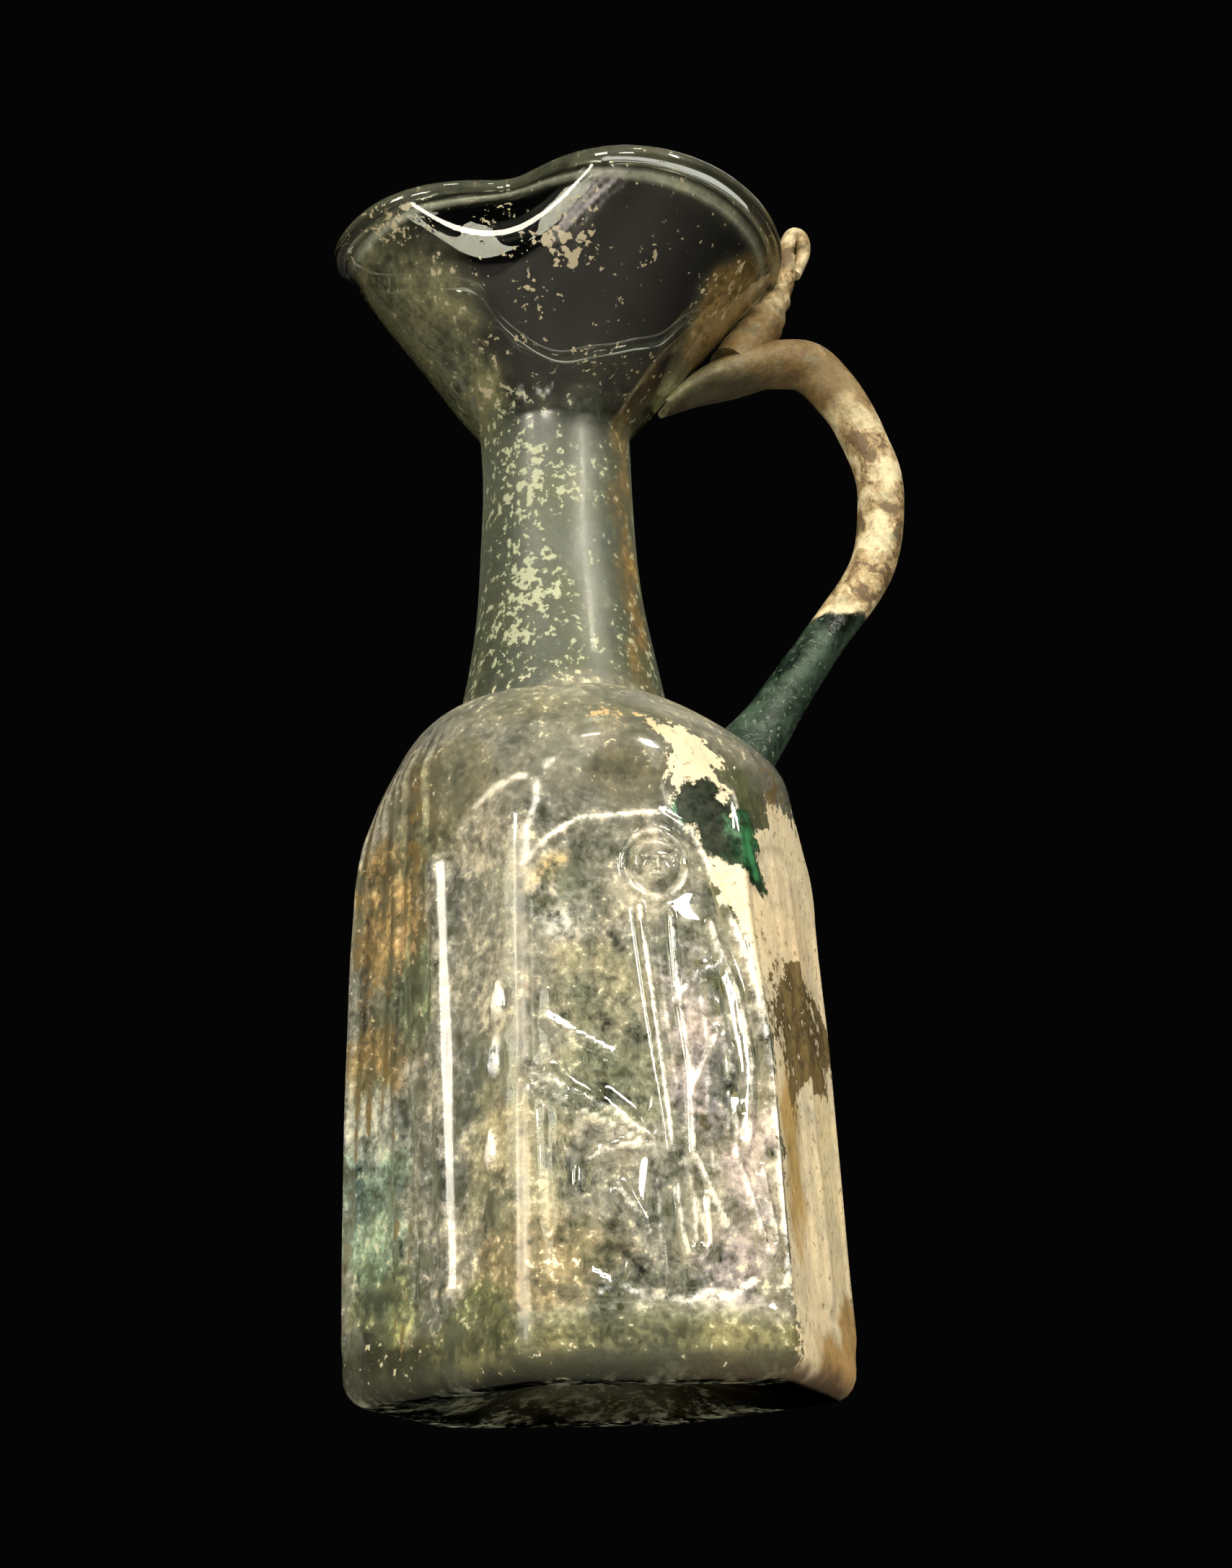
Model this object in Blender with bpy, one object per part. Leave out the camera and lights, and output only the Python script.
"""Mould-blown glass jug: six-sided body with a relief figure, trefoil mouth and applied handle.

The base rests on z = 0. The pouring lip points to -X, the handle to +X, the figure faces -Y.
The origin is under the middle of the jug's whole length, at the level of its underside.
"""

import math

import bmesh
import bpy
import numpy as np

# ---- driving dimensions, in metres ------------------------------------------------------------

# Body: a tapering rounded hexagon, with corners on the X axis and flats square to Y.
SIDES = 6
HALF_SIDE = math.radians(30.0)
BODY_CORNER_LOW = 0.0406      # axis to corner at the heel
BODY_CORNER_HIGH = 0.0364     # axis to corner where the shoulder begins
SIDE_SPREAD = 0.036           # the corners under lip and handle stand out more at the shoulder
SHOULDER_START = 0.0774
SHOULDER_RISE = 0.0350
SHOULDER_CORE = 0.0102        # the dome would close down to this radius
HEEL_HEIGHT = 0.0050
BASE_INSET = 0.0045           # the heel turns in by this much
REST_WIDTH = 0.0040           # flat ring that the jug stands on
KICK_HEIGHT = 0.0055          # the underside is pushed in by this much
ARRIS_POWER = 36.0            # sharpness of the six arrises
SOFT_POWER = 2.5              # the section is nearly round where the shoulder ends

# Corner between the figure's panel and the next one to its right sagged in blowing.
SLUMP_ANGLE = math.radians(-60.0)
SLUMP_SPREAD = math.radians(13.0)
SLUMP_SHARE = 0.045

# Neck, slightly off the body's axis towards the lip.
NECK_BASE_Z = 0.1107
NECK_TOP_Z = 0.1614
NECK_BASE_RADIUS = 0.0174
NECK_TOP_RADIUS = 0.0124
NECK_SHIFT = -0.0029

# Mouth: a funnel drawn out into a trefoil, with its edge folded in to a round tube.
MOUTH_RADIUS = 0.0391
MOUTH_STRETCH = -0.0009       # wider than long by this much each way
MOUTH_BACK_SHIFT = 0.0012     # reaches further at the handle than at the lip
PINCH_DEPTH = 0.0173
PINCH_ANGLE = math.radians(61.0)
PINCH_SPREAD = math.radians(30.4)
RIM_Z = 0.2009
BACK_DROP = 0.0080            # the rim is lower at the handle
LIP_DROP = 0.0069
LIP_SPREAD = math.radians(39.5)
RIM_TUBE_RADIUS = 0.0017

# Wall thicknesses.
BODY_WALL = 0.0025
BASE_WALL = 0.0032
NECK_WALL = 0.0022
MOUTH_WALL = 0.0018

# Relief on the panels: face coordinates are s, across to the right, and z, up.
FIGURE_FACE = 4               # the face whose outward normal is -Y
COLUMN_FACES = (3, 5, 1)      # faces with a plain shaft
PANEL_BOTTOM = 0.0103
PANEL_RECESS = 0.00045
PANEL_EDGE = 0.0016           # a panel steps down over this width
RELIEF_FADE = (0.087, 0.094)  # the mould's relief dies away between these levels
BEAD_HEIGHT = 0.00045
BEAD_WIDTH = 0.0010

HEAD_S = 0.0031
HEAD_Z = 0.0770
HEAD_RADIUS = 0.0044
HEAD_HEIGHT = 0.0012
NIMBUS_RADIUS = 0.0060
NIMBUS_WIDTH = 0.0011
NIMBUS_HEIGHT = 0.0008
ROBE_HALF_WIDTH = 0.0052      # at the shoulders
ROBE_FLARE = 0.0028           # wider by this much at the hem
ROBE_HEIGHT = 0.0006
ROBE_SHIFT = 0.0030           # the robe hangs to one side of the head

SHAFT_HALF_WIDTH = 0.0044
SHAFT_HEIGHT = 0.0006
SHAFT_EDGE = ((4.7, 20), (0.6, 83))     # moulded edge of a shaft, in millimetres
SHAFT_EDGE_SIZE = 0.0013

# Ridges that draw the figure, in millimetres: (s, z) corners, half width, height.
FIGURE_STROKES = (
    (((0.2, 70), (1.3, 58), (2.4, 44), (3.2, 33)), 1.2, 1.2),     # near edge of the robe
    (((5.0, 69), (5.4, 56), (6.6, 44), (6.2, 33)), 1.2, 1.2),     # middle fold
    (((12.0, 61.5), (8.2, 59.5), (5.0, 56)), 1.3, 1.2),           # bent forearm
    (((10.8, 51), (6.8, 43)), 1.3, 1.2),                          # fold drawn up to the arm
    (((6.2, 33), (10.6, 22)), 1.3, 1.2),                          # leg set to the side
    (((-17.0, 44.2), (-10.0, 40.8), (0.6, 34.5)), 1.7, 1.2),      # staff held across
    (((0.6, 33), (-7.2, 32.6), (-10.4, 28)), 1.3, 0.9),           # hem caught up
    (((-4.6, 27), (-0.6, 21.3)), 1.4, 0.9),                       # hem at the far foot
    (((3.6, 27), (4.8, 18), (8.0, 18), (7.8, 26)), 1.3, 1.2),     # near foot
    (((11.2, 68), (14.4, 57), (15.6, 46), (14.4, 34)), 1.3, 1.0), # edge of the cloak
    (((14.0, 33), (16.6, 18)), 1.7, 1.2),                         # its hanging point
)

# Handle: a round trail of glass from the shoulder up to the mouth.
HANDLE_REACH = 0.0592         # body axis to the outermost point
TOUCH_GAP = 0.0003            # the handle's glass stays this far from the vessel's

# Stations along the handle's trails, in millimetres: x, z, half thickness, half width.
BOW = (
    (23.0, 99.5, 7.0, 8.2),       # root, inside the shoulder until it is trimmed
    (27.0, 105.2, 5.6, 6.6),
    (32.4, 112.6, 4.4, 5.2),
    (41.6, 125.7, 4.0, 4.6),
    (49.8, 136.8, 4.3, 4.7),
    (53.6, 146.5, 4.6, 5.0),
    (54.3, 155.3, 4.9, 5.2),      # outermost point
    (52.6, 164.3, 4.9, 5.2),
    (48.6, 172.4, 5.0, 5.2),
    (43.0, 177.9, 4.9, 5.2),      # top bend
    (36.6, 178.4, 4.2, 5.6),
    (29.6, 175.6, 3.5, 6.4),      # meets the underside of the mouth
    (22.6, 172.6, 2.4, 6.0),
    (16.4, 168.3, 1.0, 3.2),      # drawn out to a thin tail
)
RETURN_STRIP = (
    (28.4, 177.0, 3.6, 6.2),      # folded back on itself
    (33.6, 183.4, 3.8, 5.6),
    (36.6, 189.2, 2.9, 4.2),
    (39.3, 194.4, 1.8, 2.8),
    (40.4, 199.6, 1.4, 2.0),
)
THUMB_LOOP = (
    (40.0, 196.6, 1.3, 1.9),
    (40.2, 200.6, 1.3, 2.0),
    (41.2, 203.7, 1.3, 2.1),
    (42.9, 203.2, 1.3, 2.0),
    (43.2, 200.4, 1.2, 1.8),
    (41.4, 196.0, 1.1, 1.6),
)


# ---- small helpers ----------------------------------------------------------------------------

def smooth_step(low, high, value):
    """Rise from 0 to 1 between low and high."""
    t = np.clip((value - low) / (high - low), 0.0, 1.0)
    return t * t * (3.0 - 2.0 * t)


def wrapped(angle):
    """Angle brought between -pi and pi."""
    return (angle + math.pi) % (2.0 * math.pi) - math.pi


def stroke(s, z, path, width, height):
    """Rounded ridge along a path of a few (s, z) corners."""
    nearest = np.full(np.shape(s + z), np.inf)
    for (s0, z0), (s1, z1) in zip(path, path[1:]):
        run_s = s1 - s0
        run_z = z1 - z0
        along = ((s - s0) * run_s + (z - z0) * run_z) / (run_s ** 2 + run_z ** 2)
        along = np.clip(along, 0.0, 1.0)
        away = np.hypot(s - s0 - along * run_s, z - z0 - along * run_z)
        nearest = np.minimum(nearest, away)
    return height * np.exp(-(nearest / width) ** 2)


def millimetres(*pairs):
    """Path corners given in millimetres."""
    return [(s * 0.001, z * 0.001) for s, z in pairs]


# ---- form of the body -------------------------------------------------------------------------

def hexagon(angle, power):
    """Rounded hexagon with its corners at radius 1: a generalised mean of six half-planes."""
    total = 0.0
    corner = 0.0
    for side in range(SIDES):
        normal = HALF_SIDE * (2 * side + 1)
        total = total + np.maximum(0.0, np.cos(angle - normal)) ** power
        corner += max(0.0, math.cos(normal)) ** power
    return (total / corner) ** (-1.0 / power)


def corner_radius(z):
    """Axis to arris: a straight taper, then a quarter ellipse over the shoulder."""
    taper = BODY_CORNER_LOW + (BODY_CORNER_HIGH - BODY_CORNER_LOW) * z / SHOULDER_START
    climb = min(max((z - SHOULDER_START) / SHOULDER_RISE, 0.0), 1.0)
    dome = SHOULDER_CORE + (BODY_CORNER_HIGH - SHOULDER_CORE) * math.sqrt(1.0 - climb * climb)
    return taper if z < SHOULDER_START else dome


def section_power(z):
    """The arrises soften over the shoulder until the section is round."""
    left = 1.0 - float(smooth_step(SHOULDER_START, SHOULDER_START + 0.027, z))
    return SOFT_POWER + (ARRIS_POWER - SOFT_POWER) * left ** 2


def slump(angle, z):
    """Share of the radius lost where one corner sagged."""
    rise = smooth_step(0.046, 0.070, z) * (1.0 - smooth_step(0.090, 0.106, z))
    return SLUMP_SHARE * rise * np.exp(-(wrapped(angle - SLUMP_ANGLE) / SLUMP_SPREAD) ** 2)


def body_radius(angle, z):
    """Plain outer form of body and shoulder, without relief."""
    plain = corner_radius(z) * hexagon(angle, section_power(z))
    return plain * (1.0 - slump(angle, z)) * side_spread(angle, z)


def side_spread(angle, z):
    """Share by which the two corners on the X axis stand out towards the shoulder."""
    rise = smooth_step(0.0, 0.070, z) * (1.0 - smooth_step(0.098, 0.110, z))
    return 1.0 + SIDE_SPREAD * rise * np.cos(angle) ** 4


def axis_shift(z):
    """The upper shoulder slides over to the neck's own axis."""
    return NECK_SHIFT * float(smooth_step(0.098, 0.110, z))


# ---- relief -----------------------------------------------------------------------------------

def arch_path(is_figure):
    """Top of a panel: a shouldered arch, drawn out lower on the figure's right."""
    if is_figure:
        return millimetres((-17.4, 76.3), (-8.5, 83.8), (4.0, 85.3), (9.0, 82.5),
                           (13.5, 73.8), (17.3, 62.4), (18.6, 50.0))
    return millimetres((-17.2, 76.5), (-8.5, 83.8), (0.0, 85.3), (8.5, 83.8), (17.2, 76.5))


def panel_recess(s, z, half_width, arch):
    """Depth to which a panel lies under its frame."""
    arch_z = np.interp(s, [point[0] for point in arch], [point[1] for point in arch])
    inside = smooth_step(PANEL_BOTTOM - 0.5 * PANEL_EDGE, PANEL_BOTTOM + 0.5 * PANEL_EDGE, z)
    inside = inside * (1.0 - smooth_step(-PANEL_EDGE, 0.0, z - arch_z))
    border = half_width - BEAD_WIDTH
    inside = inside * (1.0 - smooth_step(border - PANEL_EDGE, border, np.abs(s)))
    return PANEL_RECESS * inside


def figure_relief(s, z):
    """Standing draped figure with a round nimbus, an arm on a staff and a hanging cloak."""
    from_head = np.hypot(s - HEAD_S, z - HEAD_Z)
    head = HEAD_HEIGHT * np.sqrt(np.clip(1.0 - (from_head / HEAD_RADIUS) ** 2, 0.0, 1.0))
    nimbus = NIMBUS_HEIGHT * np.exp(-((from_head - NIMBUS_RADIUS) / NIMBUS_WIDTH) ** 2)
    half = ROBE_HALF_WIDTH + ROBE_FLARE * (1.0 - smooth_step(0.022, 0.045, z))
    from_fold = np.abs(s - HEAD_S - ROBE_SHIFT)
    robe = 1.0 - smooth_step(half - PANEL_EDGE, half + PANEL_EDGE, from_fold)
    robe = robe * smooth_step(0.019, 0.023, z) * (1.0 - smooth_step(0.068, 0.073, z))
    height = np.maximum(np.maximum(head, nimbus), ROBE_HEIGHT * robe)
    for path, width, rise in FIGURE_STROKES:
        ridge = stroke(s, z, millimetres(*path), 0.001 * width, 0.001 * rise)
        height = np.maximum(height, ridge)
    return height


def column_relief(s, z):
    """Plain shaft with a moulded edge, on a low foot and under a small cap."""
    lean = 0.0040 * (1.0 - smooth_step(0.015, 0.085, z))
    from_middle = np.abs(s + 0.0016 - lean)
    half_edge = 0.5 * PANEL_EDGE
    shaft = 1.0 - smooth_step(SHAFT_HALF_WIDTH - half_edge, SHAFT_HALF_WIDTH + half_edge, from_middle)
    shaft = shaft * smooth_step(0.012, 0.014, z) * (1.0 - smooth_step(0.079, 0.082, z))
    edge = stroke(s, z, millimetres(*SHAFT_EDGE), SHAFT_EDGE_SIZE, SHAFT_EDGE_SIZE)
    return np.maximum(SHAFT_HEIGHT * shaft, edge)


def relief(angle, z):
    """Height of the relief over the plain form, at angles on one level of the body."""
    height = np.zeros_like(angle)
    apothem = corner_radius(z) * math.cos(HALF_SIDE)
    half_width = apothem * math.tan(HALF_SIDE)
    fade = 1.0 - smooth_step(*RELIEF_FADE, z)
    for side in range(SIDES):
        normal = HALF_SIDE * (2 * side + 1)
        turn = wrapped(angle - normal)
        on_face = np.abs(turn) <= HALF_SIDE
        s = apothem * np.tan(np.clip(turn, -0.6, 0.6))
        arch = arch_path(side == FIGURE_FACE)
        here = -panel_recess(s, z, half_width, arch)
        here = np.maximum(here, stroke(s, z, arch, BEAD_WIDTH, BEAD_HEIGHT) - PANEL_RECESS)
        if side == FIGURE_FACE:
            here = here + figure_relief(s, z)
        if side in COLUMN_FACES:
            here = here + column_relief(s, z)
        height = np.where(on_face, here, height)
    from_arris = np.abs(wrapped(SIDES * angle)) / SIDES * corner_radius(z)
    bead = BEAD_HEIGHT * np.exp(-(from_arris / BEAD_WIDTH) ** 2) * smooth_step(0.006, 0.010, z)
    return (height + bead) * fade


# ---- rings of points --------------------------------------------------------------------------

def ring(angle, radius, z, axis_x=0.0):
    """Closed ring of points; radius and z may differ from point to point."""
    radius = np.broadcast_to(radius, angle.shape)
    z = np.broadcast_to(z, angle.shape)
    x = axis_x + radius * np.cos(angle)
    y = radius * np.sin(angle)
    return angle, np.stack([x, y, z], axis=1)


def even_angles(count):
    """Equal steps, with one point on each arris when count is a multiple of six."""
    return np.arange(count) * 2.0 * math.pi / count


def panel_angles():
    """Columns of the body: three on each arris, and more on the figure's face."""
    columns = []
    for side in range(SIDES):
        normal = HALF_SIDE * (2 * side + 1)
        inner = {FIGURE_FACE: 25, 3: 8, 5: 4}.get(side, 3)
        edge = math.tan(math.radians(28.2))
        steps = np.linspace(-edge, edge, inner + 2)
        columns.append(normal - HALF_SIDE)
        columns.extend(normal + np.arctan(steps))
    return np.sort(np.array(columns) % (2.0 * math.pi))


def base_rings():
    """Underside, from the pushed-in centre to the flat rest and round the heel."""
    angle = even_angles(36)
    outer = BODY_CORNER_LOW - BASE_INSET
    inner = outer - REST_WIDTH / math.cos(HALF_SIDE)
    rings = []
    for share in (0.3, 0.6, 0.85):
        power = 4.0 + 20.0 * share
        rise = KICK_HEIGHT * (1.0 - share ** 2) ** 1.5
        rings.append(ring(angle, share * inner * hexagon(angle, power), rise))
    rings.append(ring(angle, inner * hexagon(angle, 24.0), 0.0))
    rings.append(ring(angle, outer * hexagon(angle, 24.0), 0.0))
    for turn in (30.0, 60.0):
        inset = BASE_INSET * (1.0 - math.sin(math.radians(turn)))
        z = HEEL_HEIGHT * (1.0 - math.cos(math.radians(turn)))
        radius = (corner_radius(z) - inset) * hexagon(angle, 30.0)
        rings.append(ring(angle, radius, z))
    return rings


def body_rings():
    """Outer wall of the body, with its relief, up to where the shoulder turns in."""
    angle = panel_angles()
    rings = []
    for z in np.concatenate([[HEEL_HEIGHT], np.linspace(0.0093, 0.0880, 37)]):
        z = float(z)
        rings.append(ring(angle, body_radius(angle, z) + relief(angle, z), z))
    return rings


def shoulder_rings():
    """Outer wall of the shoulder, at equal turns of its quarter ellipse."""
    angle = even_angles(48)
    rings = []
    for turn in (26.0, 36.0, 46.0, 55.0, 63.0, 70.0):
        z = SHOULDER_START + SHOULDER_RISE * math.sin(math.radians(turn))
        rings.append(ring(angle, body_radius(angle, z), z, axis_shift(z)))
    return rings


def neck_radius(z):
    """Outer radius of the neck: tapers upwards, wider again just over the shoulder."""
    share = (z - NECK_BASE_Z) / (NECK_TOP_Z - NECK_BASE_Z)
    return NECK_TOP_RADIUS + (NECK_BASE_RADIUS - NECK_TOP_RADIUS) * (1.0 - share) ** 2.4


def neck_rings(wall, levels):
    """Rings of the neck, outside when wall is 0 and inside when it is the wall's thickness."""
    angle = even_angles(30)
    return [ring(angle, neck_radius(z) - wall, z, NECK_SHIFT) for z in levels]


def lip_turn(angle):
    """Angle away from the lip's direction."""
    return np.abs(wrapped(angle - math.pi))


def rim_height(angle):
    """Level of the rim: highest at the sides, lower at the lip and at the handle."""
    turn = lip_turn(angle)
    back = BACK_DROP * 0.5 * (1.0 - np.cos(turn))
    return RIM_Z - back - LIP_DROP * np.exp(-(turn / LIP_SPREAD) ** 2)


def mouth_point(angle, share, inward):
    """Radius and level at a share of the way from the neck to the rim, less a wall."""
    turn = lip_turn(angle)
    rim = MOUTH_RADIUS - MOUTH_BACK_SHIFT * np.cos(turn) + MOUTH_STRETCH * np.cos(2.0 * turn)
    pinch = PINCH_DEPTH * np.exp(-((turn - PINCH_ANGLE) / PINCH_SPREAD) ** 2)
    radius = NECK_TOP_RADIUS + (rim - NECK_TOP_RADIUS) * share - pinch * share ** 4
    z = NECK_TOP_Z + (rim_height(angle) - NECK_TOP_Z) * share
    return radius - inward, z


def mouth_rings(inward, shares):
    """Rings of the funnel, outside when inward is 0."""
    angle = even_angles(48)
    rings = []
    for share in shares:
        radius, z = mouth_point(angle, share, inward)
        rings.append(ring(angle, radius, z, NECK_SHIFT))
    return rings


def rim_rings():
    """Folded edge: a round tube set on the end of the funnel."""
    angle = even_angles(48)
    middle, z = mouth_point(angle, 1.0, 0.5 * MOUTH_WALL)
    rings = []
    for turn in (-40.0, 15.0, 70.0, 125.0, 180.0, 225.0):
        out = RIM_TUBE_RADIUS * math.cos(math.radians(turn))
        up = RIM_TUBE_RADIUS * math.sin(math.radians(turn))
        rings.append(ring(angle, middle + out, z + up, NECK_SHIFT))
    return rings


def inner_ring(angle, z):
    """One ring of the inside of the body, rounder in its corners than the outside."""
    radius = corner_radius(z) * hexagon(angle, min(section_power(z), 14.0))
    radius = radius * (1.0 - slump(angle, z)) * side_spread(angle, z)
    return ring(angle, radius - BODY_WALL, z, axis_shift(z))


def inner_rings():
    """Inside of shoulder, body and floor, from the neck down to the middle of the base."""
    angle = even_angles(30)
    rings = []
    for turn in (70.0, 52.0, 32.0, 12.0):
        z = SHOULDER_START + SHOULDER_RISE * math.sin(math.radians(turn)) - 0.6 * BODY_WALL
        rings.append(inner_ring(angle, z))
    for z in (0.062, 0.034, 0.011):
        rings.append(inner_ring(angle, z))
    floor = BODY_CORNER_LOW - BODY_WALL - BASE_INSET
    for share in (1.0, 0.8, 0.5, 0.2):
        rise = BASE_WALL + KICK_HEIGHT * (1.0 - share ** 2) ** 1.5
        rings.append(ring(angle, share * floor * hexagon(angle, 12.0), rise))
    return rings


# ---- meshes -----------------------------------------------------------------------------------

def stitch(bm, lower, upper):
    """Band of triangles between two rings, which may have different numbers of points."""
    low_angle, low_verts = lower
    high_angle, high_verts = upper
    low_count = len(low_verts)
    high_count = len(high_verts)
    i = 0
    j = 0
    while i < low_count or j < high_count:
        low_next = low_angle[(i + 1) % low_count] + 2.0 * math.pi * ((i + 1) // low_count)
        high_next = high_angle[(j + 1) % high_count] + 2.0 * math.pi * ((j + 1) // high_count)
        a = low_verts[i % low_count]
        b = high_verts[j % high_count]
        if j == high_count or (i < low_count and low_next <= high_next):
            bm.faces.new((a, low_verts[(i + 1) % low_count], b))
            i += 1
        else:
            bm.faces.new((a, high_verts[(j + 1) % high_count], b))
            j += 1


def close_ring(bm, edge_ring, centre, upward):
    """Fan of triangles from a ring to a centre point."""
    verts = edge_ring[1]
    tip = bm.verts.new(centre)
    count = len(verts)
    for k in range(count):
        here = verts[k]
        after = verts[(k + 1) % count]
        bm.faces.new((here, after, tip) if upward else (after, here, tip))


def rings_to_object(name, rings, start, end, material):
    """Closed solid from a run of rings, capped by a fan at each end."""
    bm = bmesh.new()
    placed = []
    for angle, points in rings:
        placed.append((angle, [bm.verts.new(point) for point in points]))
    for lower, upper in zip(placed, placed[1:]):
        stitch(bm, lower, upper)
    close_ring(bm, placed[0], start, upward=False)
    close_ring(bm, placed[-1], end, upward=True)
    return finish(name, bm, material)


def finish(name, bm, material):
    """Make an object of a mesh, with its faces outward and its arrises crisp."""
    bmesh.ops.recalc_face_normals(bm, faces=bm.faces)
    mesh = bpy.data.meshes.new(name)
    bm.to_mesh(mesh)
    bm.free()
    mesh.materials.append(material)
    mesh.shade_smooth()
    mesh.set_sharp_from_angle(angle=math.radians(35.0))
    obj = bpy.data.objects.new(name, mesh)
    bpy.context.scene.collection.objects.link(obj)
    return obj


def glass(name, colour, roughness):
    """Plain dielectric material."""
    material = bpy.data.materials.new(name)
    material.use_nodes = True
    shader = material.node_tree.nodes["Principled BSDF"]
    shader.inputs["Base Color"].default_value = (*colour, 1.0)
    shader.inputs["Roughness"].default_value = roughness
    shader.inputs["Metallic"].default_value = 0.0
    return material


# ---- the vessel -------------------------------------------------------------------------------

def outer_rings():
    """All rings of the outside, from the underside to the top of the funnel."""
    rings = base_rings() + body_rings() + shoulder_rings()
    rings += neck_rings(0.0, (NECK_BASE_Z, 0.116, 0.125, 0.140, 0.156))
    rings += mouth_rings(0.0, (0.06, 0.16, 0.30, 0.46, 0.62, 0.76, 0.88, 0.96))
    return rings


def make_vessel(material):
    """Body, neck and mouth, blown as one piece and hollow throughout."""
    rings = outer_rings() + rim_rings()
    rings += mouth_rings(MOUTH_WALL, (0.90, 0.74, 0.52, 0.30, 0.10))
    rings += neck_rings(NECK_WALL, (0.156, 0.136, 0.112))
    rings += inner_rings()
    floor_z = BASE_WALL + KICK_HEIGHT
    return rings_to_object("jug_vessel", rings, (0.0, 0.0, KICK_HEIGHT), (0.0, 0.0, floor_z),
                           material)


# ---- the handle -------------------------------------------------------------------------------

def smooth_path(points, count):
    """Catmull-Rom curve through points, sampled at equal steps of its own parameter."""
    points = np.array(points)
    padded = np.vstack([2.0 * points[0] - points[1], points, 2.0 * points[-1] - points[-2]])
    spans = len(points) - 1
    steps = np.linspace(0.0, spans, count)
    index = np.minimum(steps.astype(int), spans - 1)
    t = (steps - index)[:, None]
    p0 = padded[index]
    p1 = padded[index + 1]
    p2 = padded[index + 2]
    p3 = padded[index + 3]
    return 0.5 * (2.0 * p1 + (p2 - p0) * t + (2.0 * p0 - 5.0 * p1 + 4.0 * p2 - p3) * t ** 2
                  + (3.0 * p1 - p0 - 3.0 * p2 + p3) * t ** 3)


def trail(name, stations, count, sides, material):
    """Rod of glass in the plane y = 0, through stations of x, z, half thickness, half width."""
    path = smooth_path(0.001 * np.array(stations), count)
    centre = path[:, :2]
    half_thick = path[:, 2]
    half_wide = path[:, 3]
    along = np.gradient(centre, axis=0)
    along /= np.linalg.norm(along, axis=1)[:, None]
    across = np.stack([along[:, 1], -along[:, 0]], axis=1)
    bm = bmesh.new()
    rows = []
    for k in range(count):
        row = []
        for side in range(sides):
            turn = 2.0 * math.pi * side / sides
            offset = half_thick[k] * math.cos(turn) * across[k]
            x, z = centre[k] + offset
            row.append(bm.verts.new((x, half_wide[k] * math.sin(turn), z)))
        rows.append(row)
    for low, high in zip(rows, rows[1:]):
        for side in range(sides):
            after = (side + 1) % sides
            bm.faces.new((low[side], low[after], high[after], high[side]))
    bm.faces.new(rows[0])
    bm.faces.new(rows[-1])
    return finish(name, bm, material)


def combine(target, other, operation):
    """Boolean of two solids, left as a live modifier on the first."""
    modifier = target.modifiers.new(operation.lower(), "BOOLEAN")
    modifier.operation = operation
    modifier.solver = "EXACT"
    modifier.object = other
    other.hide_render = True
    other.display_type = "WIRE"


def make_clearance(material):
    """Solid of the vessel's outside, grown by the gap, that trims the handle."""
    rings = outer_rings() + rim_rings()[:4]
    solid = rings_to_object("clearance", rings, (0.0, 0.0, KICK_HEIGHT),
                            (NECK_SHIFT, 0.0, NECK_TOP_Z), material)
    grow = solid.modifiers.new("grow", "DISPLACE")
    grow.strength = 1.4 * TOUCH_GAP
    grow.mid_level = 0.0
    return solid


def make_handle(material):
    """Rod from the shoulder to the mouth, pressed on there and drawn up to a thumb loop."""
    bow = trail("handle", BOW, 36, 12, material)
    strip = trail("return_strip", RETURN_STRIP, 10, 10, material)
    loop = trail("thumb_loop", THUMB_LOOP, 14, 8, material)
    clearance = make_clearance(material)
    combine(bow, strip, "UNION")
    combine(bow, loop, "UNION")
    combine(bow, clearance, "DIFFERENCE")
    return bow


def centre_on_origin(objects):
    """Slide everything along X so that the origin is under the middle of the jug's length."""
    middle = 0.5 * (HANDLE_REACH - BODY_CORNER_LOW)
    for obj in objects:
        for vertex in obj.data.vertices:
            vertex.co.x -= middle


def main():
    """Clear the scene and build the jug."""
    for obj in list(bpy.data.objects):
        bpy.data.objects.remove(obj, do_unlink=True)
    vessel_glass = glass("weathered_green_glass", (0.36, 0.38, 0.29), 0.22)
    handle_glass = glass("crusted_green_glass", (0.55, 0.49, 0.35), 0.55)
    make_vessel(vessel_glass)
    make_handle(handle_glass)
    centre_on_origin(bpy.data.objects)


main()
